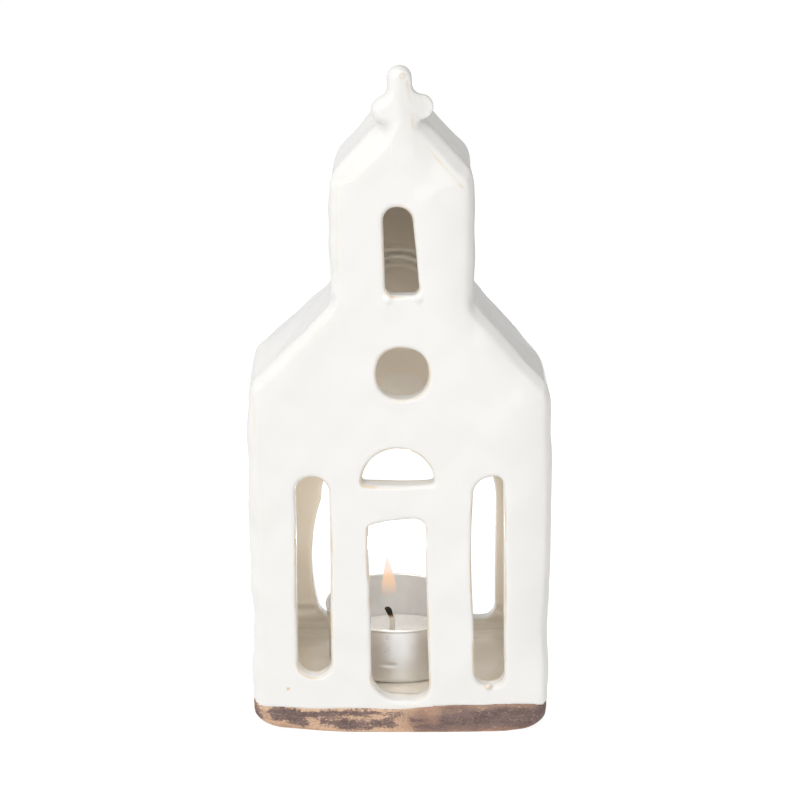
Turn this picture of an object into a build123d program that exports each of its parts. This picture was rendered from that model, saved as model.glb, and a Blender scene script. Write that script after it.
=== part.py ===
from build123d import *
import os

# A tealight house: a small chapel built from rolled stoneware slabs, with a tealight that lifts out.
# Millimetres. The origin is on the table under the middle of the foot, +X is right as seen from the
# front, +Y runs to the back and +Z is up. The slabs are luted edge to edge, so they meet face to face.

# Rolled clay slabs
wall = 5.0
base_thickness = 7.5
base_lip = 0.4
base_edge_round = 2.2

# House body and tower
house_width = 74.6
eaves_rise = 80.5
roof_rise = 25.2
tower_width = 34.6
tower_shift = 0.3
tower_rise = 29.5
tower_roof_rise = 18.6
roof_fall = 3.0

# Edges softened with a wet sponge
eaves_round = 7.0
valley_round = 3.0
tower_eaves_round = 6.5
apex_round = 6.5
inner_round = 1.5
face_round = 4.2
opening_round = 1.0

# Door in the front wall
door_width = 14.4
door_height = 48.2
door_sill = 1.3
door_shift = -0.4
door_lean = 1.0
door_head_round = 1.8
door_foot_round = 5.0

# Tall windows either side of the door
left_window_width = 9.1
left_window_height = 53.7
left_window_sill = 7.4
right_window_width = 8.1
right_window_height = 56.3
right_window_sill = 5.0
right_window_lean = 1.1
window_place_share = 0.585

# Half-round lunette, round window and tower window
lunette_width = 19.0
lunette_height = 10.3
lunette_gap = 8.7
lunette_foot_round = 1.5
round_window_diameter = 13.2
tower_window_head_width = 7.2
tower_window_foot_width = 8.6
tower_window_height = 22.2
tower_window_lean = 0.8
tower_window_foot_round = 1.8

# Arched opening in the back wall
rear_width = 47.8
rear_height = 58.5
rear_sill = 1.8
rear_arch_flat = 0.4
rear_bulge = 2.8
rear_shift = 2.4
rear_foot_round = 4.0

# Cross pressed on the front gable
cross_rise = 7.4
cross_shaft_width = 6.2
cross_arm_span = 15.1
cross_arm_height = 6.2
cross_arm_drop = 2.3
cross_thickness = 6.4
cross_setback = 0.5
cross_round = 2.6

# Tealight cup, wax, wick and sustainer
cup_rim_diameter = 38.5
cup_foot_diameter = 36.6
cup_height = 15.5
cup_wall = 0.4
cup_bead = 1.0
cup_foot_round = 1.4
cup_rear_gap = 3.6
cup_front_gap = 7.8
cup_shift = -0.4
wax_depth = 4.5
wax_dish = 0.5
wax_clearance = 0.15
sustainer_diameter = 14.0
sustainer_thickness = 0.4
sustainer_neck_diameter = 3.2
sustainer_neck_height = 5.2
sustainer_shift = -1.8
wick_diameter = 1.5
wick_height = 14.2
wick_lean = 1.3
wick_bend_height = 11.4
wick_bend_round = 3.0
wick_clearance = 0.05

# Shares that keep a rounding inside what carries it
round_limit_share = 0.9
full_round_share = 0.49

# Every cut runs past the faces that it opens by this much
overrun = 2.0

# The chamber is as deep as its tealight and the gaps before and behind it, between the two face slabs
house_depth = wall + cup_front_gap + cup_foot_diameter + cup_rear_gap + wall

# Planes and heights worked out from the sizes above
front_y = -house_depth / 2
back_y = house_depth / 2
front_inner_y = front_y + wall
back_inner_y = back_y - wall
floor_z = base_thickness
eaves_z = floor_z + eaves_rise
shoulder_z = eaves_z + roof_rise
tower_eaves_z = shoulder_z + tower_rise
apex_z = tower_eaves_z + tower_roof_rise
half_width = house_width / 2
tower_right_x = tower_shift + tower_width / 2
tower_left_x = tower_shift - tower_width / 2
edge_round = min(face_round, round_limit_share * min(wall, apex_round, tower_eaves_round, eaves_round))


def upright(y):
    """The plane parallel to the front at depth y, with X across and Z up."""
    return Plane.XZ.offset(-y)


def section(points, rounds, y):
    """A closed outline of straight runs with rounded corners, standing at depth y."""
    return (upright(y) * make_face(FilletPolyline(*points, radius=rounds, close=True))).face()


def push(face, depth, fall=0):
    """Carry an upright outline back by a depth, sinking by fall on the way."""
    return Solid.extrude(face, Vector(0, depth, -fall))


def outer_corners(fall=0):
    """Corners of the gabled outline from the right foot round to the left foot, roofs lowered by fall."""
    return [
        Vector(half_width, floor_z),
        Vector(half_width, eaves_z - fall),
        Vector(tower_right_x, shoulder_z - fall),
        Vector(tower_right_x, tower_eaves_z - fall),
        Vector(tower_shift, apex_z - fall),
        Vector(tower_left_x, tower_eaves_z - fall),
        Vector(tower_left_x, shoulder_z - fall),
        Vector(-half_width, eaves_z - fall),
        Vector(-half_width, floor_z),
    ]


def mitre(before, corner, after):
    """From a corner, the way to the corner of a parallel outline that lies one unit further in."""
    run_in = (corner - before).normalized()
    run_out = (after - corner).normalized()
    inward_in = Vector(-run_in.Y, run_in.X)
    inward_out = Vector(-run_out.Y, run_out.X)
    return (inward_in + inward_out) / (1 + inward_in.dot(inward_out))


# Outline of the house, its mitre at each corner, and the same outline one slab further in
outer = outer_corners()
mitres = [Vector(-1, 0)]
mitres += [mitre(a, b, c) for a, b, c in zip(outer, outer[1:], outer[2:])]
mitres += [Vector(1, 0)]
inner = [corner + way * wall for corner, way in zip(outer, mitres)]

outer_rounds = [
    0,
    eaves_round,
    valley_round,
    tower_eaves_round,
    apex_round,
    tower_eaves_round,
    valley_round,
    eaves_round,
    0,
]
inner_rounds = [
    0,
    max(eaves_round - wall, inner_round),
    valley_round + wall,
    max(tower_eaves_round - wall, inner_round),
    max(apex_round - wall, inner_round),
    max(tower_eaves_round - wall, inner_round),
    valley_round + wall,
    max(eaves_round - wall, inner_round),
    0,
]

nodes = {}

# Foot slab, a little wider than the walls, with its lower edge worn round
base_blank = extrude(
    RectangleRounded(
        house_width + 2 * base_lip,
        house_depth + 2 * base_lip,
        edge_round + base_lip,
    ),
    base_thickness,
)
nodes["base_slab"] = fillet(base_blank.faces().sort_by(Axis.Z)[0].edges(), base_edge_round)

# Walls and roofs between the two face slabs: one ring of clay, cut along its mitres.
# It sinks by the fall of the roofs on its way back, so it is trimmed level with the floor.
inner_depth = back_inner_y - front_inner_y
ring = push(section(outer, outer_rounds, front_inner_y), inner_depth, roof_fall)
ring -= push(section(inner, inner_rounds, front_inner_y), inner_depth, roof_fall)
below_floor = Pos(0, 0, floor_z) * Box(
    house_width + 2 * overrun,
    house_depth,
    2 * (roof_fall + overrun),
    align=(Align.CENTER, Align.CENTER, Align.MAX),
)
ring_slabs = [
    "right_wall",
    "right_roof",
    "tower_right_wall",
    "tower_right_roof",
    "tower_left_roof",
    "tower_left_wall",
    "left_roof",
    "left_wall",
]
mitre_out = [corner - way * overrun for corner, way in zip(outer, mitres)]
mitre_in = [corner + way * overrun for corner, way in zip(inner, mitres)]
for i, name in enumerate(ring_slabs):
    quad = [mitre_out[i], mitre_out[i + 1], mitre_in[i + 1], mitre_in[i]]
    wedge = push(section(quad, 0, front_inner_y), inner_depth, roof_fall)
    nodes[name] = (ring & wedge) - below_floor


def opening(foot_x, head_x, foot_width, head_width, sill_z, height, foot_round, head_round, y):
    """An upright four-cornered opening that may lean and taper, its corners rounded up to half its width."""
    head_z = sill_z + height
    foot_round = min(foot_round, full_round_share * foot_width)
    head_round = min(head_round, full_round_share * head_width)
    points = [
        (foot_x - foot_width / 2, sill_z),
        (foot_x + foot_width / 2, sill_z),
        (head_x + head_width / 2, head_z),
        (head_x - head_width / 2, head_z),
    ]
    return section(points, [foot_round, foot_round, head_round, head_round], y)


def soften(slab, outside, radius):
    """Round the edges of the openings on a slab's outside face."""
    face = slab.faces().sort_by(Axis.Y)[outside]
    return fillet([edge for wire in face.inner_wires() for edge in wire.edges()], radius)


def face_slab(fall, y, outside):
    """A front or back slab of the gabled outline, its outside edges rounded except at the foot."""
    slab = Part() + push(section(outer_corners(fall), outer_rounds, y), wall)
    edges = slab.faces().sort_by(Axis.Y)[outside].edges()
    return fillet(edges.sort_by(Axis.Z)[1:], edge_round)


# Front slab: door, tall windows, lunette, round window and tower window
cut_y = front_y - overrun
cut_depth = wall + 2 * overrun
door_z = floor_z + door_sill
lunette_z = door_z + door_height + lunette_gap
lunette_left = (door_shift - lunette_width / 2, lunette_z)
lunette_right = (door_shift + lunette_width / 2, lunette_z)
lunette_top = (door_shift, lunette_z + lunette_height)
lunette = make_face(
    [Line(lunette_left, lunette_right), ThreePointArc(lunette_right, lunette_top, lunette_left)]
)
lunette = fillet(lunette.vertices(), lunette_foot_round)
round_window_z = (lunette_z + lunette_height + shoulder_z) / 2
window_x = window_place_share * half_width
front_openings = [
    opening(
        door_shift + door_lean / 2,
        door_shift - door_lean / 2,
        door_width,
        door_width,
        door_z,
        door_height,
        door_foot_round,
        door_head_round,
        cut_y,
    ),
    opening(
        -window_x,
        -window_x,
        left_window_width,
        left_window_width,
        floor_z + left_window_sill,
        left_window_height,
        left_window_width,
        left_window_width,
        cut_y,
    ),
    opening(
        window_x + right_window_lean / 2,
        window_x - right_window_lean / 2,
        right_window_width,
        right_window_width,
        floor_z + right_window_sill,
        right_window_height,
        right_window_width,
        right_window_width,
        cut_y,
    ),
    opening(
        tower_shift + tower_window_lean / 2,
        tower_shift - tower_window_lean / 2,
        tower_window_foot_width,
        tower_window_head_width,
        shoulder_z,
        tower_window_height,
        tower_window_foot_round,
        tower_window_head_width,
        cut_y,
    ),
    (upright(cut_y) * lunette).face(),
    (upright(cut_y) * Pos(tower_shift, round_window_z) * Circle(round_window_diameter / 2)).face(),
]
front_wall = face_slab(0, front_y, 0)
for face in front_openings:
    front_wall -= push(face, cut_depth)
nodes["front_wall"] = soften(front_wall, 0, opening_round)

# Back slab: one wide arch that the tealight goes in through, cut by hand and fuller on its left.
# The arch springs where its head is about half a circle, a little flat.
rear_spring = rear_height - rear_width / 2 + rear_arch_flat
sill_z = floor_z + rear_sill
rear_left_foot = (rear_shift - rear_width / 2, sill_z)
rear_right_foot = (rear_shift + rear_width / 2, sill_z)
rear_left_spring = (rear_shift - rear_width / 2, sill_z + rear_spring)
rear_right_spring = (rear_shift + rear_width / 2, sill_z + rear_spring)
rear_left_belly = (rear_shift - rear_width / 2 - rear_bulge, sill_z + rear_spring / 2)
rear_crown = (rear_shift, sill_z + rear_height)
rear_arch = make_face(
    [
        Line(rear_left_foot, rear_right_foot),
        Line(rear_right_foot, rear_right_spring),
        ThreePointArc(rear_right_spring, rear_crown, rear_left_spring),
        ThreePointArc(rear_left_spring, rear_left_belly, rear_left_foot),
    ]
)
rear_arch = fillet(rear_arch.vertices().group_by(Axis.Y)[0], rear_foot_round)
rear_cut = push((upright(back_inner_y - overrun) * rear_arch).face(), cut_depth)
back_wall = face_slab(roof_fall, back_inner_y, -1) - rear_cut
nodes["back_wall"] = soften(back_wall, -1, opening_round)

# Cross: two soft bars, its foot shaped to the gable that it is pressed on, one slab deep
cross_shaft_length = cross_rise + wall
cross_shaft_z = apex_z + (cross_rise - wall) / 2


def soft_bar(length, width):
    """A flat bar with half-round ends and well rounded edges, lying along X and standing in the facade."""
    bar = extrude(SlotOverall(length, width), cross_thickness)
    radius = min(cross_round, full_round_share * min(width, cross_thickness))
    return fillet(bar.faces().filter_by(Axis.Z).edges(), radius)


shaft = soft_bar(cross_shaft_length, cross_shaft_width)
arms = soft_bar(cross_arm_span, cross_arm_height)
cross_plane = upright(front_y + cross_setback + cross_thickness)
cross = cross_plane * Pos(tower_shift, cross_shaft_z) * Rot(0, 0, 90) * shaft
cross += cross_plane * Pos(tower_shift, apex_z - cross_arm_drop) * arms
for name in ("front_wall", "tower_left_roof", "tower_right_roof"):
    cross -= nodes[name]
nodes["cross"] = cross

# Tealight: every piece is turned about the cup's own axis, then set on the floor
cup_foot_radius = cup_foot_diameter / 2
cup_y = back_inner_y - cup_rear_gap - cup_foot_radius
cup_place = Pos(cup_shift, cup_y, floor_z)
cup_top_radius = (cup_rim_diameter - cup_bead) / 2
cup_slope = (cup_top_radius - cup_foot_radius) / cup_height


def turned(points, rounds):
    """Turn a half outline of radius and height about an upright axis."""
    return revolve(section(points, rounds, 0), Axis.Z)


# Pressed cup with a tapered wall and a bead rolled at its rim
cup = turned(
    [
        (0, 0),
        (cup_foot_radius, 0),
        (cup_top_radius, cup_height - cup_bead / 2),
        (cup_top_radius - cup_wall, cup_height - cup_bead / 2),
        (cup_foot_radius - cup_wall, cup_wall),
        (0, cup_wall),
    ],
    [0, cup_foot_round, 0, 0, cup_foot_round - cup_wall, 0],
)
cup += Pos(0, 0, cup_height - cup_bead / 2) * Torus(cup_top_radius, cup_bead / 2)
nodes["tealight_cup"] = cup_place * cup

# Sustainer: a pressed disc on the cup's floor with a neck that grips the wick, a little off centre
neck_radius = sustainer_neck_diameter / 2
neck_bore_radius = wick_diameter / 2 + wick_clearance
disc_radius = sustainer_diameter / 2
disc_z = cup_wall + sustainer_thickness
neck_z = cup_wall + sustainer_neck_height
sustainer = turned(
    [
        (neck_bore_radius, cup_wall),
        (disc_radius, cup_wall),
        (disc_radius, disc_z),
        (neck_radius, disc_z),
        (neck_radius, neck_z),
        (neck_bore_radius, neck_z),
    ],
    0,
)
sustainer_place = cup_place * Pos(sustainer_shift, 0)
nodes["wick_sustainer"] = sustainer_place * sustainer

# Wax left in the cup, dished by the flame and moulded round the sustainer
wax_z = cup_wall + wax_depth
wax_foot_radius = cup_foot_radius - cup_wall - wax_clearance
wax_top_radius = wax_foot_radius + cup_slope * wax_depth
wax_rim = (wax_top_radius, wax_z)
wax_middle = (0, wax_z - wax_dish)
wax_halfway = (wax_top_radius / 2, wax_z - wax_dish)
wax_side = FilletPolyline((0, cup_wall), (wax_foot_radius, cup_wall), wax_rim, radius=cup_foot_round)
wax_top = ThreePointArc(wax_rim, wax_halfway, wax_middle)
wax_outline = make_face([*wax_side.edges(), *wax_top.edges(), Line(wax_middle, (0, cup_wall))])
wax = revolve((upright(0) * wax_outline).face(), Axis.Z)
pocket = turned(
    [
        (0, 0),
        (disc_radius + wax_clearance, 0),
        (disc_radius + wax_clearance, disc_z + wax_clearance),
        (neck_radius + wax_clearance, disc_z + wax_clearance),
        (neck_radius + wax_clearance, neck_z + overrun),
        (0, neck_z + overrun),
    ],
    0,
)
nodes["wax"] = cup_place * (wax - Pos(sustainer_shift, 0) * pocket)

# Wick: upright in the neck, with a burnt tip that leans to the left
wick_path = FilletPolyline(
    (0, 0, cup_wall),
    (0, 0, wick_bend_height),
    (-wick_lean, 0, wick_height),
    radius=wick_bend_round,
)
wick_section = Pos(0, 0, cup_wall) * Circle(wick_diameter / 2)
nodes["wick"] = sustainer_place * sweep(wick_section, wick_path)

os.makedirs("parts", exist_ok=True)
for name, solid in nodes.items():
    export_step(solid, f"parts/{name}.step")
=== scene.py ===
import math

import bmesh
import bpy
import numpy as np
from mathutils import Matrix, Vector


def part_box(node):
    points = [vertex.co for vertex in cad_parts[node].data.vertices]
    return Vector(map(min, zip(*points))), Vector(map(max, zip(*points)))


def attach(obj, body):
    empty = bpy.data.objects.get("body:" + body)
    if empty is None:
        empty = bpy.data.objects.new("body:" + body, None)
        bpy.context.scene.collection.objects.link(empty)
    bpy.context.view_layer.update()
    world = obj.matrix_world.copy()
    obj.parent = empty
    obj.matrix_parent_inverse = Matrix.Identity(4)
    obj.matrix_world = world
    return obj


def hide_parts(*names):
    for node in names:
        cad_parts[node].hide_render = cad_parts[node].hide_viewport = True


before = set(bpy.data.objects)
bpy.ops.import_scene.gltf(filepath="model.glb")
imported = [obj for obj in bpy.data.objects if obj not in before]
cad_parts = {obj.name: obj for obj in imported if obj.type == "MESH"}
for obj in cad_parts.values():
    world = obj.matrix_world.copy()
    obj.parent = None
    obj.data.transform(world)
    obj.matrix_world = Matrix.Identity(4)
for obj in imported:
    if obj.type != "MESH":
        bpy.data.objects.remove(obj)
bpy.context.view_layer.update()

# Foot. The slab that the house stands on is left bare: buff stoneware under a dark oxide wash that was
# wiped off again, so it clings in patches and is worn to tan clay along the edges. The glaze of the walls
# stops in a soft wavy lip just above it. Lengths here and below are in millimetres.
MM = 0.001
foot_high = np.array(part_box("base_slab")[1]) / MM
foot_half_width = foot_high[0] - 0.4
foot_half_depth = foot_high[1] - 0.3
corner_left, corner_right, corner_worn = 4.0, 2.6, 4.0
foot_bow = 1.0
edge_middle, edge_ends = 0.45, 3.8
glaze_line, lip_overlap, lip_tuck = 6.4, 0.4, 2.6


def soft_max(a, b, r):
    """The larger of two signed distances. Where both surfaces come closer than r the corner is an arc."""
    return np.minimum(np.maximum(a, b), -r) + np.hypot(np.maximum(a + r, 0), np.maximum(b + r, 0))


def ramp(value, start, end):
    """Goes from 0 at start to 1 at end along the curve 3t^2 - 2t^3, and stays level outside them."""
    t = np.clip((value - start) / (end - start), 0, 1)
    return t * t * (3 - 2 * t)


def bump(value, middle, spread):
    """A bell of height 1 round the middle."""
    return np.exp(-(((value - middle) / spread) ** 2))


def hand_waves(x, y, z, length, seed):
    """What hands leave in clay: a sum of nine plane waves of about one length, in drawn directions."""
    draw = np.random.default_rng(seed)
    total = 0
    for _ in range(9):
        way = draw.normal(size=3)
        way *= 2 * math.pi * draw.uniform(0.7, 1.3) / (length * np.linalg.norm(way))
        total = total + np.sin(x * way[0] + y * way[1] + z * way[2] + draw.uniform(0, 2 * math.pi))
    return total / 3


def lip_height(x, y):
    """Height of the glaze lip: a slow wave, higher to the right, that climbs round the front corners."""
    wave = 0.35 * np.sin(0.11 * x + 0.05 * y + 0.6) + 0.2 * np.sin(0.29 * x - 0.17 * y)
    climb = ramp(y, 0.4 - foot_half_depth, 4.5 - foot_half_depth) * (1 - ramp(y, -20, 4))
    rise = 0.9 * ramp(x, 0, 34) + (2.4 * ramp(-x, 24, 33) + 2.0 * ramp(x, 24, 33)) * climb
    return glaze_line + wave + rise


def round_corner(across, along, corner):
    """Distance to a corner of a plan, rounded, from the distances to its two sides."""
    out = np.hypot(np.maximum(across + corner, 0), np.maximum(along + corner, 0))
    return out + np.minimum(np.maximum(across, along) + corner, 0) - corner


def foot_body(x, y, z):
    """Distance to the foot: a box with round corners and bowed sides in plan, the lip as its top, and a lower
    edge that is worn most at the ends."""
    corner = np.where(x < 0, corner_left, corner_right) + corner_worn * (1 - ramp(z, 0, glaze_line))
    across = np.abs(x) - foot_half_width
    along = np.abs(y) - foot_half_depth + foot_bow * (x / foot_half_width) ** 2
    lumps = 0.08 * hand_waves(x, y, z, 18, 3) + 0.03 * hand_waves(x, y, z, 4, 4)
    plan = round_corner(across, along, corner) + lumps
    worn = np.where(x < 0, ramp(-x, 12, 36), ramp(x, 24, 38))
    under = soft_max(plan, -z, edge_middle + (edge_ends - edge_middle) * worn)
    top = lip_height(x, y) + lip_overlap - lip_tuck * ramp(-plan, 0.8, 3)
    return soft_max(under, z - top, 0.3)


def slope_of(solid, points):
    """The steepest way out of a solid at each point, from differences over a hair's breadth."""
    hair = 0.02
    steps = hair * np.eye(3)
    return np.stack([solid(*(points + s).T) - solid(*(points - s).T) for s in steps], 1) / (2 * hair)


def clay_skin(solid, xs, ys, zs):
    """The surface where a signed distance is zero, on a grid of xs, ys and zs.
    Every cell that the surface passes through gets one point, the mean of its crossings with the cell's
    edges, and every grid edge that it crosses gets a four-sided face between its four cells. The points
    then slide along the slope until they lie on the surface."""
    axes = (xs, ys, zs)
    value = solid(xs[:, None, None], ys[None, :, None], zs[None, None, :])
    total = np.zeros([len(axis) - 1 for axis in axes] + [3])
    count = np.zeros(total.shape[:3])
    crossings = []
    for turn in ((0, 1, 2), (1, 2, 0), (2, 0, 1)):
        low, high = value.transpose(turn)[:-1], value.transpose(turn)[1:]
        crossed = (low < 0) != (high < 0)
        share = np.divide(low, low - high, out=np.zeros_like(low), where=crossed)
        along, across, over = (axes[i] for i in turn)
        reached = along[:-1, None, None] + share * np.diff(along)[:, None, None]
        places = (reached, across[None, :, None], over[None, None, :])
        crossings.append((turn, crossed, low < 0))
        for m in (0, 1):
            for n in (0, 1):
                part = np.s_[:, m : len(across) - 1 + m, n : len(over) - 1 + n]
                count.transpose(turn)[...] += crossed[part]
                for i, place in zip(turn, places):
                    spot = np.broadcast_to(place, crossed.shape)[part]
                    total[..., i].transpose(turn)[...] += crossed[part] * spot
    index = np.cumsum(count.ravel() > 0).reshape(count.shape) - 1
    points = total[count > 0] / count[count > 0][:, None]
    faces = []
    for turn, crossed, outward in crossings:
        cell = index.transpose(turn)
        inner = np.s_[:, 1:-1, 1:-1]
        i, j, k = np.nonzero(crossed[inner])
        quads = np.stack([cell[i, j, k], cell[i, j + 1, k], cell[i, j + 1, k + 1], cell[i, j, k + 1]], 1)
        faces.append(np.where(outward[inner][crossed[inner]][:, None], quads, quads[:, ::-1]))
    rounds, longest, flattest = 4, 0.3, 0.05
    for _ in range(rounds):
        slope = slope_of(solid, points)
        move = slope * (solid(*points.T) / np.maximum((slope**2).sum(1), flattest))[:, None]
        points = points - np.clip(move, -longest, longest)
    return points, np.concatenate(faces)


def new_piece(name, points, faces, fields=None, normals=None):
    """Puts points in millimetres and faces into a smooth mesh, with a number per point for each field."""
    mesh = bpy.data.meshes.new(name)
    mesh.from_pydata((np.asarray(points) * MM).tolist(), [], np.asarray(faces).tolist())
    mesh.polygons.foreach_set("use_smooth", np.ones(len(mesh.polygons), bool))
    for field, values in (fields or {}).items():
        mesh.attributes.new(field, "FLOAT", "POINT").data.foreach_set("value", np.asarray(values, np.float32))
    mesh.update()
    if normals is not None:
        mesh.normals_split_custom_set_from_vertices(normals / np.linalg.norm(normals, axis=1)[:, None])
    piece = bpy.data.objects.new(name, mesh)
    bpy.context.scene.collection.objects.link(piece)
    return piece


class Wire:
    """An output socket. Arithmetic on wires and numbers adds Math nodes, and node() adds any other node."""

    def __init__(self, socket):
        self.socket = socket

    def node(self, kind, settings=None, sockets=None, output=0):
        """Adds a node of a kind beside this one: its settings first, then its sockets by name or number."""
        tree = self.socket.id_data
        made = tree.nodes.new(kind)
        for key, value in (settings or {}).items():
            setattr(made, key, value)
        for key, value in (sockets or {}).items():
            if isinstance(value, Wire):
                tree.links.new(value.socket, made.inputs[key])
            else:
                made.inputs[key].default_value = value
        return Wire(made.outputs[output])

    def math(self, operation, first, second=0.0):
        return self.node("ShaderNodeMath", {"operation": operation}, {0: first, 1: second})

    def __add__(self, other):
        return self.math("ADD", self, other)

    def __sub__(self, other):
        return self.math("SUBTRACT", self, other)

    def __rsub__(self, other):
        return self.math("SUBTRACT", other, self)

    def __mul__(self, other):
        return self.math("MULTIPLY", self, other)

    def __pow__(self, other):
        return self.math("POWER", self, other)

    def __abs__(self):
        return self.math("ABSOLUTE", self)

    __radd__ = __add__
    __rmul__ = __mul__

    def most(self, other):
        return self.math("MAXIMUM", self, other)

    def ramp(self, start, end):
        """0 at start, 1 at end, smooth between them."""
        ends = {"Value": self, "From Min": start, "From Max": end}
        return self.node("ShaderNodeMapRange", {"interpolation_type": "SMOOTHSTEP"}, ends)

    def tint(self, first, second):
        """The first colour where this is 0, the second where it is 1."""
        return self.node("ShaderNodeMix", {"data_type": "RGBA"}, {0: self, 6: first, 7: second}, 2)

    def field(self, name):
        """One of the piece's own numbers, stored at its points."""
        return self.node("ShaderNodeAttribute", {"attribute_name": name}, {}, 2)

    def noise(self, size, stretch=(1, 1, 1), detail=3.0, roughness=0.5, offset=(0, 0, 0)):
        """Cloudy noise with lumps of a size in millimetres, longer along an axis with a larger stretch."""
        scale = [1 / (size * MM * s) for s in stretch]
        place = self.node("ShaderNodeMapping", {}, {"Vector": self, "Location": offset, "Scale": scale})
        sockets = {"Vector": place, "Scale": 1.0, "Detail": detail, "Roughness": roughness}
        return self.node("ShaderNodeTexNoise", {}, sockets)


def new_finish(name, **constants):
    """A material with one Principled shader: gives both, and wires for the piece's place and its x, y, z."""
    material = bpy.data.materials.new(name)
    material.use_nodes = True
    tree = material.node_tree
    shader = tree.nodes["Principled BSDF"]
    for key, value in constants.items():
        shader.inputs[key.replace("_", " ")].default_value = value
    place = Wire(tree.nodes.new("ShaderNodeTexCoord").outputs["Object"])
    split = place.node("ShaderNodeSeparateXYZ", {}, {0: place}).socket.node
    x, y, z = (Wire(out) * (1 / MM) for out in split.outputs)
    return material, shader, place, x, y, z


def feed(shader, **wires):
    """Links wires to a shader's sockets."""
    for key, wire in wires.items():
        shader.id_data.links.new(wire.socket, shader.inputs[key.replace("_", " ")])


def relief(height, depth):
    """A Bump node: the height is from 0 to 1 and the depth in millimetres."""
    sockets = {"Height": height, "Distance": depth * MM, "Strength": 1.0}
    return height.node("ShaderNodeBump", {}, sockets)


foot_xs = np.arange(-38.4, 38.5, 0.7)
foot_ys = np.concatenate([np.arange(-30.2, -24, 0.6), np.arange(-24, 24, 1.5), np.arange(24, 30.3, 0.6)])
foot_zs = np.arange(-0.6, 12, 0.45)
foot_points, foot_faces = clay_skin(foot_body, foot_xs, foot_ys, foot_zs)


def bar(x, y, z, start, end, radius):
    """Distance to a round-ended bar from start to end."""
    start, run = np.array(start), np.array(end) - np.array(start)
    px, py, pz = x - start[0], y - start[1], z - start[2]
    t = np.clip((px * run[0] + py * run[1] + pz * run[2]) / (run @ run), 0, 1)
    return np.sqrt((px - t * run[0]) ** 2 + (py - t * run[1]) ** 2 + (pz - t * run[2]) ** 2) - radius


# Each stroke of the wash on the front: where it starts and ends in x and z, and half its width.
wash_strokes = (
    (-31.6, 5.2, -25.5, 4.4, 1.45),
    (-28.0, 3.6, -24.6, 3.1, 0.9),
    (-24.0, 4.9, -17.7, 4.7, 0.75),
    (-17.7, 5.4, 0.5, 5.5, 0.42),
    (-19.6, 3.0, -15.4, 2.6, 0.8),
    (-15.4, 2.5, -9.8, 1.9, 1.15),
    (-9.8, 1.6, -8.0, 1.2, 0.6),
    (-7.6, 2.5, -3.6, 2.5, 0.35),
    (-3.4, 3.1, -1.5, 2.4, 0.75),
    (3.2, 3.5, 5.6, 3.4, 0.65),
    (4.6, 1.8, 11.2, 1.5, 0.8),
    (12.6, 3.6, 21.8, 3.7, 2.5),
    (21.8, 3.9, 33.6, 4.2, 2.5),
    (34.6, 3.4, 36.2, 4.6, 2.4),
    (-37.2, 7.2, -36.0, 3.0, 0.6),
    (35.6, 5.4, 36.9, 8.4, 1.5),
)


def wash_edge(x, y, z):
    """Distance to the edge of the dark wash: the nearest stroke on the front, torn belts elsewhere."""
    strokes = [bar(x, 0 * y, z, (a, 0, b), (c, 0, d), half) for a, b, c, d, half in wash_strokes]
    belts = 1.5 * hand_waves(x, y, 3 * z, 22, 5) + 0.9 * np.abs(z - 3.4) - 1.4
    return belts + (np.minimum.reduce(strokes) - belts) * ramp(-y, 20, 26)


foot_fields = {"wash": wash_edge(*foot_points.T)}
foot = new_piece("foot", foot_points, foot_faces, foot_fields, slope_of(foot_body, foot_points))

bare_clay, shader, place, x, _, z = new_finish("bare_clay", Specular_IOR_Level=0.25)
buff, rust = (0.8, 0.55, 0.38, 1), (0.42, 0.26, 0.19, 1)
oxide, umber = (0.23, 0.165, 0.155, 1), (0.14, 0.098, 0.092, 1)
torn = place.noise(2.6, (2.6, 2.6, 0.8), 6, 0.68) - 0.5
crumbs = place.noise(0.7, (1.5, 1.5, 1), 4, 0.7)
grain = place.noise(0.32, (1.8, 1.8, 1), 3, 0.6, (0, 0.7, 0))
rubbed = x.ramp(-1, 7)
cover = 0 - place.field("wash") + torn * 4.6 + (crumbs - 0.5) * 2.6 + (grain - 0.5) * 2.4
wash = cover.ramp(-0.7, 0.15) * (1 - rubbed) + cover.ramp(-2.1, 0.9) * rubbed
lip_light = z.ramp(5.0, 6.6) * (0.5 - rubbed * 0.35)
bare = (place.noise(4, (3, 3, 1), 5, 0.65).ramp(0.3, 0.7) * 0.6 + rubbed * 0.6 - lip_light).tint(buff, rust)
dark = (place.noise(1.5, (3, 3, 1), 5, 0.7).ramp(0.35, 0.65)).tint(umber, oxide)
strands = place.node(
    "ShaderNodeTexWave",
    {"bands_direction": "DIAGONAL"},
    {"Vector": place, "Scale": 150.0, "Distortion": 26.0, "Detail": 2.0, "Detail Scale": 1.0},
    1,
)
nicks = strands.ramp(0.93, 0.995) * (1 - abs(x - 1).ramp(2, 5))
colour = wash.tint(bare, dark)
colour = (crumbs.ramp(0.56, 0.7) * 0.5).most(grain.ramp(0.52, 0.68) * 0.55).tint(colour, rust)
colour = (place.noise(0.5, (2.5, 2.5, 1), 3, 0.6, (0.3, 0, 0)).ramp(0.6, 0.7) * 0.4).tint(colour, buff)
colour = (place.noise(0.26, (1.6, 1.6, 1), 2, 0.5, (0, 0, 0.4)).ramp(0.57, 0.68) * 0.5).tint(colour, umber)
colour = (nicks * 0.8).most((1 - z.ramp(0.15, 0.7)) * crumbs.ramp(0.3, 0.6) * 0.5).tint(colour, buff)
height = (torn + 0.5) * 0.5 + crumbs * 0.4 + wash * 0.1 - nicks * 0.4
feed(shader, Base_Color=colour, Roughness=0.85 - wash * 0.2, Normal=relief(height, 0.3))
foot.data.materials.append(bare_clay)
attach(foot, "house")
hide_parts("base_slab")

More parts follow.
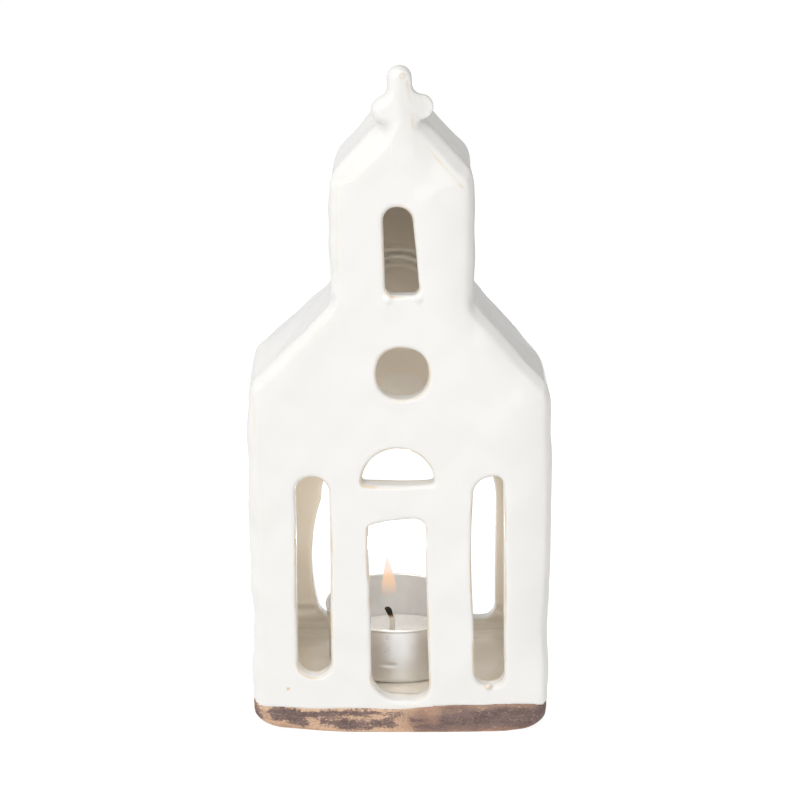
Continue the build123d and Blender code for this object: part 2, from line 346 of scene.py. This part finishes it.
# House. Slabs of rolled stoneware are luted along mitres round the two gabled faces, the joints are smeared
# over with slip, the openings are cut with a knife and every edge is softened with a sponge. One coat of
# glossy white glaze runs over all of it, thins to tan on the edges and pools white on the sills.
half_width, face_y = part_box("front_wall")[1][0] / MM + 0.25, -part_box("front_wall")[0][1] / MM
wall = 5.0
left_eaves, right_eaves, shoulder, tower_eaves, apex = 89.4, 88.4, 111.9, 142.7, 161.3
tower_middle, tower_half = 0.5, 17.3
roof_fall = 3.0
floor_level = foot_high[2]
wall_bevel = 1.7
knife_round = 1.15
cross_middle = (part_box("cross")[0][1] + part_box("cross")[1][1]) / 2 / MM
cross_half = cross_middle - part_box("cross")[0][1] / MM + 0.45
door = ((-7.1, 8.75), (7.4, 8.75), (6.1, 57.3), (0.3, 57.4), (-7.95, 55.6))
left_window = ((-25.8, 15.2), (-17.4, 15.2), (-17.4, 68.1), (-25.8, 68.1))
right_window = ((19.0, 12.5), (26.4, 12.5), (25.6, 69.0), (18.0, 67.4), (17.4, 50.0))
tower_window = ((-3.5, 113.9), (4.95, 113.9), (2.6, 135.4), (-4.1, 135.4))
lunette_x, lunette_z, lunette_radius = -0.55, 66.4, 9.1
round_x, round_z, round_wide, round_high, round_power = 0.6, 94.6, 6.35, 6.4, 2.3
arch_middle, arch_spring, arch_radius, rear_sill = 2.4, 43.9, 23.9, 1.8
drips = ((22.3, 12.5, 0.8), (-2.9, 113.0, 0.9), (4.4, 113.3, 0.8))
sweep_x, sweep_z, sweep_rings = -0.5, 101, 2.85


def soft_min(a, b, r):
    """The smaller of two signed distances, with a fillet of about r where the surfaces meet."""
    return -soft_max(-a, -b, r)


def past_line(x, z, start, end):
    """How far a point lies to the right of the line from start to end."""
    run, climb = end[0] - start[0], end[1] - start[1]
    return ((x - start[0]) * climb - (z - start[1]) * run) / math.hypot(run, climb)


def knife_cut(x, z, corners, rounds):
    """Distance to an opening cut with straight strokes: the largest of its corners, each one rounded."""
    sides = [past_line(x, z, a, b) for a, b in zip(corners, corners[1:] + corners[:1])]
    return np.maximum.reduce([soft_max(s, t, r) for s, t, r in zip(sides, sides[1:] + sides[:1], rounds)])


def front_openings(x, y, z):
    """Distance in the facade to the nearest of the door, the windows, the lunette, whose sill slopes to the
    front, and the round window, an oval that is a little squarer than an ellipse."""
    sill = 66.25 + 0.004 * (x + 1) ** 2 - 0.11 * np.clip(wall - face_y - y, 0, wall)
    lunette = soft_max(np.hypot(x - lunette_x, z - lunette_z) - lunette_radius, sill - z, 1.2)
    across, up = np.abs((x - round_x) / round_wide), np.abs((z - round_z) / round_high)
    oval = (across**round_power + up**round_power) ** (1 / round_power)
    round_window = oval * round_high - round_high
    cuts = [
        knife_cut(x, z, door, (4.4, 2.6, 1.0, 0.9, 6.4)),
        knife_cut(x, z, left_window, (4.15, 4.15, 4.15, 4.15)),
        knife_cut(x, z, right_window, (3.6, 3.0, 3.4, 1.2, 3.4)),
        knife_cut(x, z, tower_window, (2.2, 3.2, 3.3, 2.4)),
        round_window,
    ]
    return np.minimum(np.minimum.reduce(cuts), lunette)


def rear_opening(x, z):
    """Distance in the back wall to its arch: straight on the right, bellied on the left, round above."""
    belly = 2.8 * np.clip(1 - ((z - 26.8) / 17.5) ** 2, 0, 1) * ramp(arch_middle - x, 2, 14)
    arch = np.hypot(x - arch_middle, np.maximum(z - arch_spring, 0)) - arch_radius - belly
    return soft_max(arch, floor_level + rear_sill - z, 3.6)


def gable(x, z):
    """Distance to the outline of the front, and the width of the bevel there.
    Walls, roofs and tower are half planes with rounded corners. The bevel is as wide as the hand left it."""
    waist = np.where(x < 0, 0.75 * bump(z, 28, 9), 0.6 * bump(z, 27, 7) - 0.35 * (1 - ramp(z, 60, 74)))
    waist = waist + 0.4 * ramp(z, 64, 84)
    walls = np.abs(x) - half_width + waist
    roofs = np.maximum(
        past_line(x, z, (half_width, right_eaves), (tower_middle + tower_half, shoulder)),
        past_line(x, z, (tower_middle - tower_half, shoulder), (-half_width, left_eaves)),
    )
    tower_walls = np.abs(x - tower_middle) - tower_half
    tower_roofs = soft_max(
        past_line(x, z, (tower_middle + tower_half, tower_eaves), (tower_middle, apex)),
        past_line(x, z, (tower_middle, apex), (tower_middle - tower_half, tower_eaves)),
        6.9,
    )
    outline = soft_min(soft_max(walls, roofs, 2.2), soft_max(tower_walls, tower_roofs, 1.75), 0.7)
    in_tower = ramp(z, shoulder - 2, shoulder + 3)
    on_roof = ramp(roofs - walls, -2, 2) * (1 - in_tower) + ramp(tower_roofs - tower_walls, -2, 2) * in_tower
    pinch = 0.9 * bump(z, 53, 5) * ramp(-x, 30, 36)
    roof_bevel = np.where(x < 0, 1.7, 3.2 - 0.035 * x) * (1 - in_tower)
    roof_bevel = roof_bevel + (2.6 + (2.3 + 0.04 * np.minimum(x, 0)) * ramp(-x, -3, 3)) * in_tower
    return outline, wall_bevel + (roof_bevel - wall_bevel) * on_roof + pinch


def cross_lobes(x, y, z):
    """Distance to the cross: an upright bar and two stubby arms that run together, as thick as the slab and
    rounded over all its edges."""
    flat = 0 * y
    shaft = bar(x, flat, z, (0.5, 0, 148), (-0.2, 0, 165.5), 2.95)
    left = bar(x, flat, z, (0, 0, 158.4), (-3.9, 0, 158.1), 2.95)
    right = bar(x, flat, z, (0, 0, 158.6), (4.95, 0, 158.8), 2.9)
    face = soft_min(shaft, np.minimum(left, right), 2.4)
    return soft_max(face, np.abs(y - cross_middle) - cross_half, 2.5)


def finger_sweep(x, z):
    """Distance from the middle of the arcs that a finger drew in the slip inside the tower."""
    return np.hypot(x - sweep_x, z - sweep_z)


def house_parts(x, y, z):
    """The signed distances that make the house: outside, hollow, cuts and the arris of the bevel."""
    reach = np.clip(np.abs(x), 17, 37)
    twist = np.where(x < 0, 5.1 - 0.166 * reach, 1.2) * (1 - ramp(z, 116, 124))
    twist = twist - (0.4 + 0.9 * ramp(x, -3, 3)) * ramp(z, 116, 124)
    swelling = 6.0 * bump(y, -5, 18) * np.clip((-x - 22) / 15, 0, 1) ** 2
    swelling = swelling + 3.0 * bump(y, -2, 22) * np.clip((x - 22) / 15, 0, 1) ** 2
    sunk = z + (roof_fall + twist) * (y + face_y) / (2 * face_y) - swelling
    outline, bevel = gable(x, sunk)
    uneven = 0.17 * hand_waves(x, 0.5 * y, z, 20, 11) + 0.1 * hand_waves(x, 0.3 * y, z, 9, 12)
    roll = 3.0 * np.clip(1 + outline / 14, 0, 1) ** 2 * ramp(x, -2, 8) * ramp(z, 8, 26)
    depth = np.abs(y) - face_y + roll
    outside = soft_max(outline, depth, 0.3)
    outside = soft_max(outside, (outline + depth + bevel) / math.sqrt(2), 0.6) + uneven
    corner = np.where(x < 0, corner_left, corner_right)
    plan = round_corner(np.abs(x) - half_width + 0.1, depth, corner)
    outside = soft_max(outside, plan - 1.2 * ramp(z, 9, 22), 0.8)
    outside = np.maximum(outside, np.abs(x) - foot_high[0] + 0.05)
    outside = soft_max(soft_min(outside, cross_lobes(x, y, z), 1.6), depth + uneven, 0.3)
    ridges = 0.35 * np.sin(1.5 * (z + 0.5 * y)) * ramp(y, 10, 20) * (1 - ramp(z, 13, 16))
    sweep = finger_sweep(x, z)
    ridges = ridges + 0.3 * np.sin(sweep_rings * sweep) * bump(sweep, 11.5, 2.2) * ramp(y, 14, 20)
    hollow = soft_max(soft_max(outline + wall, np.abs(y) - face_y + wall, 2), floor_level - z, 3)
    hollow = hollow + 0.22 * hand_waves(x, y, z, 14, 13) + ridges
    wander = 0.1 * hand_waves(x, 0 * y, z, 26, 14)
    cuts = np.where(y < 0, front_openings(x, y, z), rear_opening(x, z)) + wander
    return outside, hollow, cuts, outline + bevel


def house_skin(x, y, z):
    """Distance to the glazed clay: the outside with its cross, less hollow and cuts, down to the lip."""
    outside, hollow, cuts, _ = house_parts(x, y, z)
    through = np.maximum(cuts, face_y - wall - 4 - np.abs(y))
    solid = soft_max(np.maximum(outside, -hollow), -through, knife_round)
    for drip_x, drip_z, radius in drips:
        drip = np.sqrt((x - drip_x) ** 2 + (y + face_y - radius + 0.35) ** 2 + (z - drip_z) ** 2) - radius
        solid = soft_min(solid, drip, 0.8)
    under = lip_height(x, y) - lip_tuck * ramp(-outside, 0.8, 3)
    return soft_max(solid, under - z, 0.45)


house_xs = np.concatenate(
    [np.arange(-38.7, -9.1, 0.79), np.arange(-9.1, 9.1, 0.65), np.arange(9.1, 38.9, 0.79)]
)
house_ys = np.concatenate(
    [np.arange(-30.2, -22.4, 0.6), np.arange(-22.4, 22.4, 2.0), np.arange(22.4, 30.5, 0.65)]
)
house_zs = np.concatenate([np.arange(2.8, 149, 0.79), np.arange(149, 170, 0.6)])
house_points, house_faces = clay_skin(house_skin, house_xs, house_ys, house_zs)
_, hollow, cuts, arris = house_parts(*house_points.T)


def lighter_back_wall(x, y, z):
    """How much lighter the inside of the back wall is painted: along the finger arcs in the tower, and in an
    area of painted light below them.
    """
    sweep = finger_sweep(x, z)
    arcs = bump(sweep, 11.6, 2.3) * (0.55 + 0.45 * np.sin(sweep_rings * sweep)) * ramp(z, 106, 110)
    aside = np.abs(x - 0.7) - 0.6 * (80 - z)
    # Painted light: a lighter area on the back wall below the tower, widening downwards.
    lit_patch = 0.8 * ramp(80.2 - z, 0, 0.5) * ramp(z, 66, 72) * (1 - ramp(aside, 3.6, 4.2))
    return (arcs + lit_patch) * ramp(y, 16, 21)


def cross_seam(x, z):
    """Distance to the lines where the glaze is thin: down the right of the cross and of the tower's gable,
    and along the right arm."""
    down_the_cross = ((1.5, 165.0), (2.6, 159.6), (3.0, 154.4), (4.0, 152.4))
    down_the_gable = ((5.9, 150.3), (8.7, 146.7), (12.9, 142.3), (15, 139.6))
    route = down_the_cross + down_the_gable
    lines = [bar(x, 0, z, (a[0], 0, a[1]), (b[0], 0, b[1]), 0) for a, b in zip(route, route[1:])]
    lines.append(bar(x, 0, z, (4.6, 0, 161.2), (7.1, 0, 160.4), 0))
    return np.minimum.reduce(lines)


house_x, house_y, house_z = house_points.T
back_wall_lightening, seam = lighter_back_wall(house_x, house_y, house_z), cross_seam(house_x, house_z)
house_fields = {"hollow": hollow, "cut": cuts, "arris": arris, "back_wall_light": back_wall_lightening, "seam": seam}
house = new_piece("house", house_points, house_faces, house_fields, slope_of(house_skin, house_points))

white_glaze, shader, place, x, y, z = new_finish("white_glaze")
milk, shaded_cream, honey = (0.885, 0.875, 0.855, 1), (0.865, 0.805, 0.715, 1), (0.74, 0.52, 0.2, 1)
clouds = place.noise(7, (1, 1, 1), 3)
behind_face = abs(y) - face_y
cut, arris = place.field("cut"), place.field("arris")
rim = (cut * cut + behind_face * behind_face) ** 0.5
ridge = (arris * arris + behind_face * behind_face) ** 0.5
thin = (1 - rim.ramp(0.5, 0.72)) * clouds.ramp(0.3, 0.6)
pinhole = ((x + 28.3) * (x + 28.3) + (z - 12.0) * (z - 12.0)) ** 0.5
pinhole = (1 - pinhole.ramp(0.2, 0.6)) * (1 - y.ramp(-28, -27))
blister = abs(((x - 0.5) * (x - 0.5) + (z - 166.4) * (z - 166.4)) ** 0.5 - 0.6)
blister = (1 - blister.ramp(0.08, 0.3)) * (1 - y.ramp(-26, -24)) * 0.3
thin_ridge = (1 - ridge.ramp(0.15, 0.6)) * place.noise(11, (1, 1, 1), 3).ramp(0.38, 0.66) * 0.15
thin_seam = (1 - place.field("seam").ramp(0.12, 0.5)) * clouds.ramp(0.3, 0.55) * (1 - y.ramp(-26, -24)) * 0.3
# Inside the hollow the glaze is a darker cream: partly thinner glaze, partly painted shade of the dim
# interior.
inside = 1 - place.field("hollow").ramp(0.5, 2.6)
# The back wall's inside is painted lighter along the finger arcs and in an area of painted light below them.
colour = inside.tint(milk, (place.field("back_wall_light") * 0.8).tint(shaded_cream, milk))
colour = (thin * 0.5).most(thin_ridge).most(thin_seam).most(blister).most(pinhole * 0.8).tint(colour, honey)
skim = relief(place.noise(2.4, (1, 1, 1), 2), 0.005)
feed(shader, Base_Color=colour, Roughness=0.13 + clouds * 0.08, Normal=skim)
house.data.materials.append(white_glaze)
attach(house, "house")
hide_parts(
    "front_wall",
    "back_wall",
    "left_wall",
    "right_wall",
    "left_roof",
    "right_roof",
    "tower_left_wall",
    "tower_right_wall",
    "tower_left_roof",
    "tower_right_roof",
    "cross",
)

# Tealight cup. Thin aluminium sheet, drawn to a shallow cup with a bead rolled at the rim. It was handled,
# so the rim waves and the wall has a few small dents.
cup_low, cup_high = (np.array(corner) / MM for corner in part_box("tealight_cup"))
cup_x, cup_y = (cup_low[:2] + cup_high[:2]) / 2
cup_foot, cup_rim = cup_low[2], cup_high[2]
bead = 0.3
bead_radius = (cup_high[0] - cup_low[0]) / 2 - bead
foot_radius, foot_round, sheet = 18.5, 1.8, 0.3


def arc(middle, radius, start, end, count):
    """Points on an arc in the plane of radius and height, from one angle in degrees to another."""
    angle = np.radians(np.linspace(start, end, count))
    return np.stack([middle[0] + radius * np.cos(angle), middle[1] + radius * np.sin(angle)], 1)


def line(start, end, count):
    """Points on a straight run, both ends among them."""
    return np.linspace(start, end, count)


def ring_faces(rings, sides):
    """Four-sided faces between rings of points that follow one another along a piece."""
    row, col = np.meshgrid(np.arange(rings - 1), np.arange(sides), indexing="ij")
    here, beside = row * sides + col, row * sides + (col + 1) % sides
    return np.stack([here, beside, beside + sides, here + sides], 2).reshape(-1, 4)


def turned(profile, sides):
    """Carries a profile of radius and height round an upright axis. Gives its points on a grid of profile by
    turn, the angles and the faces. A profile that starts and ends on the axis makes a closed piece."""
    angle = np.linspace(0, 2 * math.pi, sides, endpoint=False)
    radius, height = profile[:, :1], profile[:, 1:]
    grid = np.stack([radius * np.cos(angle), radius * np.sin(angle), height + 0 * angle], 2)
    return grid, angle, ring_faces(len(profile), sides)


def close_poles(piece):
    """Merges the points that lie on the axis, so that the ends are closed."""
    work = bmesh.new()
    work.from_mesh(piece.data)
    bmesh.ops.remove_doubles(work, verts=work.verts, dist=1e-7)
    work.to_mesh(piece.data)
    work.free()
    piece.data.update()


bead_level = cup_rim - bead
profile = np.concatenate(
    [
        line((0, cup_foot), (foot_radius - foot_round, cup_foot), 12),
        arc((foot_radius - foot_round, cup_foot + foot_round), foot_round, -85, -4, 9),
        line((foot_radius, cup_foot + foot_round), (bead_radius + 0.1, bead_level - bead), 34),
        arc((bead_radius, bead_level), bead, -60, 200, 16),
        line((bead_radius - sheet, bead_level - bead), (foot_radius - sheet, cup_foot + foot_round), 24),
        arc((foot_radius - foot_round, cup_foot + foot_round), foot_round - sheet, -4, -85, 7),
        line((foot_radius - foot_round, cup_foot + sheet), (0, cup_foot + sheet), 6),
    ]
)
grid, angle, faces = turned(profile, 224)
level = ramp(grid[..., 2], cup_foot + 4, cup_rim)
sag = 0.5 + 0.7 * np.sin(angle) + 0.1 * np.sin(5 * angle + 2.1) - 0.6 * bump(angle, math.radians(62), 0.35)
grid[..., 2] += level * sag
turn = np.degrees(angle) - 270
high = grid[..., 2] - cup_foot
dents = 0.1 * bump(turn, -9, 1.5) * bump(high, 12.9, 0.5)
dents = dents + 0.1 * bump(turn, -9.6, 1.4) * bump(high, 9.5, 0.45)
dents = dents + 0.36 * bump(turn, -9, 6) * bump(high, 5.6 + 0.012 * turn, 0.5)
dents = dents + 0.2 * bump(turn, -14, 9) * bump(high, 3.2, 1.6) + 0.1 * np.sin(3 * angle + 1) * level
shrink = 1 - dents / np.maximum(np.hypot(grid[..., 0], grid[..., 1]), 4)
points = np.stack([cup_x + grid[..., 0] * shrink, cup_y + grid[..., 1] * shrink, grid[..., 2]], 2)
cup = new_piece("tealight_cup_foil", points.reshape(-1, 3), faces)
close_poles(cup)

foil, shader, place, x, y, z = new_finish("satin_foil", Metallic=1.0)
streaks = place.noise(1.2, (1, 1, 14), 4, 0.6)
smudges = place.noise(6, (1, 1, 1), 4)
colour = smudges.ramp(0.3, 0.7).tint((0.77, 0.77, 0.77, 1), (0.84, 0.84, 0.84, 1))
dent_shade_colour = (0.42, 0.4, 0.37, 1)
# Painted shade: the foil is darker in small specks where the dents are.
for pit_x, pit_z, pit_half in ((-3.4, 20.3, 0.35), (-3.8, 16.7, 0.35), (-2.6, 18.2, 0.2), (-3.2, 21.2, 0.2)):
    pit = ((x - pit_x) * (x - pit_x) + (z - pit_z) * (z - pit_z)) ** 0.5
    dent_shading = (1 - pit.ramp(0.3 * pit_half, pit_half)) * (1 - y.ramp(-12, -10)) * 0.5
    colour = dent_shading.tint(colour, dent_shade_colour)
satin = 0.38 + smudges * 0.12 + streaks * 0.06
feed(shader, Base_Color=colour, Roughness=satin, Normal=relief(streaks, 0.02))
cup.data.materials.append(foil)
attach(cup, "tealight")
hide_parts("tealight_cup")

# Wax. Paraffin poured into the cup, half burnt away and molten on top, so it lies low, still and clear,
# and creeps up the foil and the wick.
wax_low, wax_high = (np.array(corner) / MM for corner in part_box("wax"))
wick_low, wick_high = (np.array(corner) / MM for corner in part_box("wick"))
wax_radius = (wax_high[0] - wax_low[0]) / 2
neck_x = cup_x - 1.8
spread = np.linspace(1, 0, 40) ** 0.8
side = line((foot_radius - 1.9, wax_low[2]), (wax_radius - 0.05, wax_low[2] + 1.4), 5)
profile = np.concatenate(
    [
        line((0, wax_low[2]), (foot_radius - 2.2, wax_low[2]), 6),
        side,
        np.stack([wax_radius * spread, wax_high[2] - 0.02 + 0 * spread], 1),
    ]
)
grid, _, faces = turned(profile, 160)
from_wick = np.hypot(grid[..., 0] - neck_x + cup_x, grid[..., 1])
radius = np.hypot(grid[..., 0], grid[..., 1])
on_top = ramp(grid[..., 2], wax_high[2] - 0.4, wax_high[2] - 0.1)
creep = 0.45 * np.exp(-(wax_radius - radius) / 0.5) + 0.7 * np.exp(-np.maximum(from_wick - 1.6, 0) / 0.7)
grid[..., 2] += on_top * (creep - 0.45 + 0.05 * hand_waves(grid[..., 0], grid[..., 1], 0, 7, 31))
points = np.stack([cup_x + grid[..., 0], cup_y + grid[..., 1], grid[..., 2]], 2).reshape(-1, 3)
wax = new_piece("wax_pool", points, faces)
close_poles(wax)

paraffin, shader, place, *_ = new_finish(
    "paraffin",
    Roughness=0.08,
    Subsurface_Weight=0.35,
    Subsurface_Scale=0.004,
    Subsurface_Radius=(1.0, 0.9, 0.75),
)
veil = place.noise(5, (1, 1, 1), 3)
feed(shader, Base_Color=veil.ramp(0.35, 0.65).tint((0.73, 0.735, 0.745, 1), (0.8, 0.805, 0.815, 1)))
wax.data.materials.append(paraffin)
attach(wax, "tealight")
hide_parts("wax")

# Wick sustainer. A tinned steel disc pressed on the cup's floor, with a crimped neck that grips the wick and
# stands just clear of the wax.
disc_low, disc_high = (np.array(corner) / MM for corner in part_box("wick_sustainer"))
disc_radius, neck_radius, neck_bore = (disc_high[0] - disc_low[0]) / 2, 1.6, 0.82
profile = np.concatenate(
    [
        line((neck_bore, disc_low[2]), (disc_radius - 0.15, disc_low[2]), 5),
        arc((disc_radius - 0.2, disc_low[2] + 0.2), 0.2, -70, 70, 6),
        line((disc_radius - 0.4, disc_low[2] + 0.4), (neck_radius + 0.5, disc_low[2] + 0.4), 5),
        arc((neck_radius + 0.5, disc_low[2] + 0.9), 0.5, 265, 185, 6),
        line((neck_radius, disc_low[2] + 1.2), (neck_radius, disc_high[2] - 0.25), 14),
        arc((neck_radius - 0.25, disc_high[2] - 0.25), 0.25, 10, 170, 8),
        line((neck_bore, disc_high[2] - 0.3), (neck_bore, disc_low[2]), 6),
    ]
)
grid, angle, faces = turned(profile, 64)
crimp = ramp(grid[..., 2], disc_low[2] + 1.5, disc_high[2]) * (np.hypot(grid[..., 0], grid[..., 1]) > 1.2)
squeeze = 1 - 0.12 * crimp * np.cos(2 * angle) ** 2
points = np.stack([neck_x + grid[..., 0] * squeeze, cup_y + grid[..., 1] * squeeze, grid[..., 2]], 2)
sustainer = new_piece("sustainer", points.reshape(-1, 3), faces)
close_poles(sustainer)

tinned, shader, place, *_ = new_finish("tinned_steel", Metallic=1.0)
film = place.noise(1.5, (1, 1, 2), 3)
feed(
    shader,
    Base_Color=film.ramp(0.35, 0.65).tint((0.55, 0.54, 0.52, 1), (0.7, 0.69, 0.66, 1)),
    Roughness=0.25 + film * 0.2,
    Normal=relief(film, 0.02),
)
sustainer.data.materials.append(tinned)
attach(sustainer, "tealight")
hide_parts("wick_sustainer")

# Wick. A flat-braided cotton cord in the neck, soaked with wax below, scorched brown where it bends and burnt
# to black char at its leaning tip.
wick_radius, wick_bend, wick_lean = 0.69, cup_foot + 10.6, 1.25
steps, sides = 90, 40
along = np.linspace(0, 1, steps)[:, None]
height = wick_low[2] + 0.1 + along * (wick_high[2] - wick_low[2] - 0.35)
past = np.maximum(height - wick_bend, 0) / (wick_high[2] - wick_bend)
lean = wick_lean * past**1.1 - 0.2 * bump(height, wick_bend - 0.5, 2.2)
turn = np.linspace(0, 2 * math.pi, sides, endpoint=False)[None, :]
braid = np.cos(3 * turn + 5.2 * height) * np.cos(3 * turn - 5.2 * height)
tip_round = np.sqrt(np.clip(1 - np.clip((along - 0.965) / 0.04, 0, 1) ** 2, 0.1, 1))
taper = tip_round * np.where(along < 0.002, 0.05, 1)
swell = (1 + 0.22 * ramp(height, wick_high[2] - 2.6, wick_high[2] - 1.0)) * taper
frayed = 0.05 * np.sin(9 * height + 2 * turn) * ramp(height, 19.4, 20.6)
out = wick_radius * swell * (1 + 0.1 * braid + frayed)
ring = np.stack([neck_x - lean + out * np.cos(turn), cup_y + 0.85 * out * np.sin(turn), height + 0 * turn], 2)
tip = np.array([[[neck_x - wick_lean, cup_y, wick_high[2] - 0.2]]]) + np.zeros((1, sides, 1))
root = np.array([[[neck_x, cup_y, wick_low[2] + 0.05]]]) + np.zeros((1, sides, 1))
ring = np.concatenate([root, ring, tip])
wick = new_piece("wick_cord", ring.reshape(-1, 3), ring_faces(len(ring), sides))
close_poles(wick)

cotton, shader, place, _, _, z = new_finish("waxed_cotton", Specular_IOR_Level=0.3)
fibre = place.noise(0.35, (1, 1, 3), 4)
scorch = (z + (fibre - 0.5) * 1.2).ramp(18.6, 19.5)
colour = z.ramp(13.5, 18.2).tint((0.72, 0.7, 0.64, 1), (0.8, 0.77, 0.68, 1))
colour = scorch.tint(colour, (0.36, 0.2, 0.09, 1))
char = (z + (fibre - 0.5) * 0.8).ramp(19.2, 19.9)
colour = char.tint(colour, fibre.tint((0.008, 0.007, 0.007, 1), (0.05, 0.035, 0.03, 1)))
feed(shader, Base_Color=colour, Roughness=0.35 + scorch * 0.5, Normal=relief(fibre, 0.12))
wick.data.materials.append(cotton)
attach(wick, "tealight")
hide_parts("wick")

# Flame. Light above the wick and not a solid: a still, pointed tongue, orange in the middle, pale at its tip
# and fading out where it leaves the wick.
flame_foot, flame_tip, flame_half, flame_belly = 23.6, 36.2, 2.05, 0.24
flame_x = neck_x - 1.0
rise = np.linspace(0, 1, 60)
opens = np.sin(np.clip(rise / flame_belly, 0, 1) * math.pi / 2) ** 0.5
closes = 1 - np.clip((rise - flame_belly) / (1 - flame_belly), 0, 1) ** 1.35
width = flame_half * np.where(rise < flame_belly, opens, closes)
profile = np.stack([np.maximum(width, 0), flame_foot + rise * (flame_tip - flame_foot)], 1)
grid, _, faces = turned(profile, 48)
sway = 0.25 * np.sin((grid[..., 2] - flame_foot) * 0.35)
points = np.stack([flame_x + grid[..., 0] + sway, cup_y + 0.8 * grid[..., 1], grid[..., 2]], 2).reshape(-1, 3)
flame = new_piece("flame", points, faces)
close_poles(flame)

glow, shader, _, _, _, z = new_finish(
    "flame_glow", Base_Color=(0, 0, 0, 1), Roughness=1.0, Specular_IOR_Level=0.0, Emission_Strength=1.0
)
share = (z - flame_foot) * (1 / (flame_tip - flame_foot))
heat = share.ramp(0.1, 0.5).tint((0.96, 0.6, 0.43, 1), (1.0, 0.66, 0.43, 1))
heat = share.ramp(0.5, 0.8).tint(heat, (1.0, 0.8, 0.7, 1))
veil = share.ramp(0.06, 0.6) * (1 - share.ramp(0.75, 1.0) * 0.4) * 0.66
feed(shader, Emission_Color=heat, Alpha=veil)
flame.data.materials.append(glow)
flame.visible_shadow = False
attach(flame, "tealight")
gleam = bpy.data.lights.new("gleam", "POINT")
gleam.energy, gleam.color, gleam.shadow_soft_size = 0.0105, (1.0, 0.96, 0.9), 0.002
gleam_holder = bpy.data.objects.new("gleam", gleam)
bpy.context.scene.collection.objects.link(gleam_holder)
gleam_holder.parent = flame
gleam_holder.location = (flame_x * MM, cup_y * MM, 40 * MM)

# Table. A plain white sheet under the house, which keeps its soft shadow. Seen straight on it is white, and
# in a gloss it is a little dimmer towards the far right.
bpy.ops.mesh.primitive_plane_add(size=6)
table = bpy.context.object
table.name = "table"


def ray_kinds(tree):
    """Wires that are 1 for rays from the camera, off a gloss, and through a clear piece."""
    outputs = tree.nodes.new("ShaderNodeLightPath").outputs
    return [Wire(outputs[name]) for name in ("Is Camera Ray", "Is Glossy Ray", "Is Transmission Ray")]


paper, shader, _, x, y, _ = new_finish(
    "white_paper", Roughness=0.9, Specular_IOR_Level=0.0, Emission_Strength=1.0
)
direct, glossy, through = ray_kinds(paper.node_tree)
seen = direct.most(glossy).most(through)
dim = glossy * y.ramp(40, 400) * (0.16 + x.ramp(-300, 300) * 0.38)
feed(shader, Base_Color=0.86 - seen * (0.56 + dim * 0.3), Emission_Color=seen * (1 - dim) * 0.87)
table.data.materials.append(paper)

# Studio light. One large soft box in front and above, a little to the left, a weak lamp behind, and a white
# room that is dimmer and warmer on the right.
world = bpy.data.worlds.new("white_room")
bpy.context.scene.world = world
world.use_nodes = True
tree = world.node_tree
direct, glossy, through = ray_kinds(tree)
look = Wire(tree.nodes.new("ShaderNodeTexCoord").outputs["Generated"])
right = look.node("ShaderNodeSeparateXYZ", {}, {0: look}).ramp(-0.3, 0.3)
room = 0.65 - right * 0.37
backdrop = direct.most(through)
strength = room + backdrop * (1 - room) + glossy * (1 - right * 0.5 - room)
warmth = (right * (1 - backdrop)).tint((1, 1, 1, 1), (1, 0.965, 0.91, 1))
feed(tree.nodes["Background"], Strength=strength, Color=warmth)


def soft_box(name, place, target, size, power):
    """A square lamp at a place that faces a target, both in metres."""
    lamp = bpy.data.lights.new(name, "AREA")
    lamp.shape, lamp.size, lamp.energy = "SQUARE", size, power
    holder = bpy.data.objects.new(name, lamp)
    bpy.context.scene.collection.objects.link(holder)
    away = np.array(place) - np.array(target)
    holder.location = place
    lean = math.acos(away[2] / np.linalg.norm(away))
    holder.rotation_euler = (lean, 0, math.atan2(away[1], away[0]) + math.pi / 2)
    return holder


soft_box("front_box", (-0.2, -1.15, 1.05), (0, -0.03, 0.08), 2.2, 21.2)
soft_box("back_box", (0.1, 0.45, 0.08), (0, 0, 0.05), 0.14, 0.8).visible_glossy = False

# Camera. Half a metre in front of the house and a little above it, looking down.
look_down = 16.2
scene = bpy.context.scene
scene.view_settings.view_transform = "Standard"
camera = bpy.data.objects.new("camera", bpy.data.cameras.new("camera"))
scene.collection.objects.link(camera)
camera.data.sensor_width, camera.data.lens = 36.0, 92.7
camera.location = (0, -0.509, 0.2276)
camera.rotation_euler = (math.radians(90 - look_down), 0, 0)
scene.camera = camera
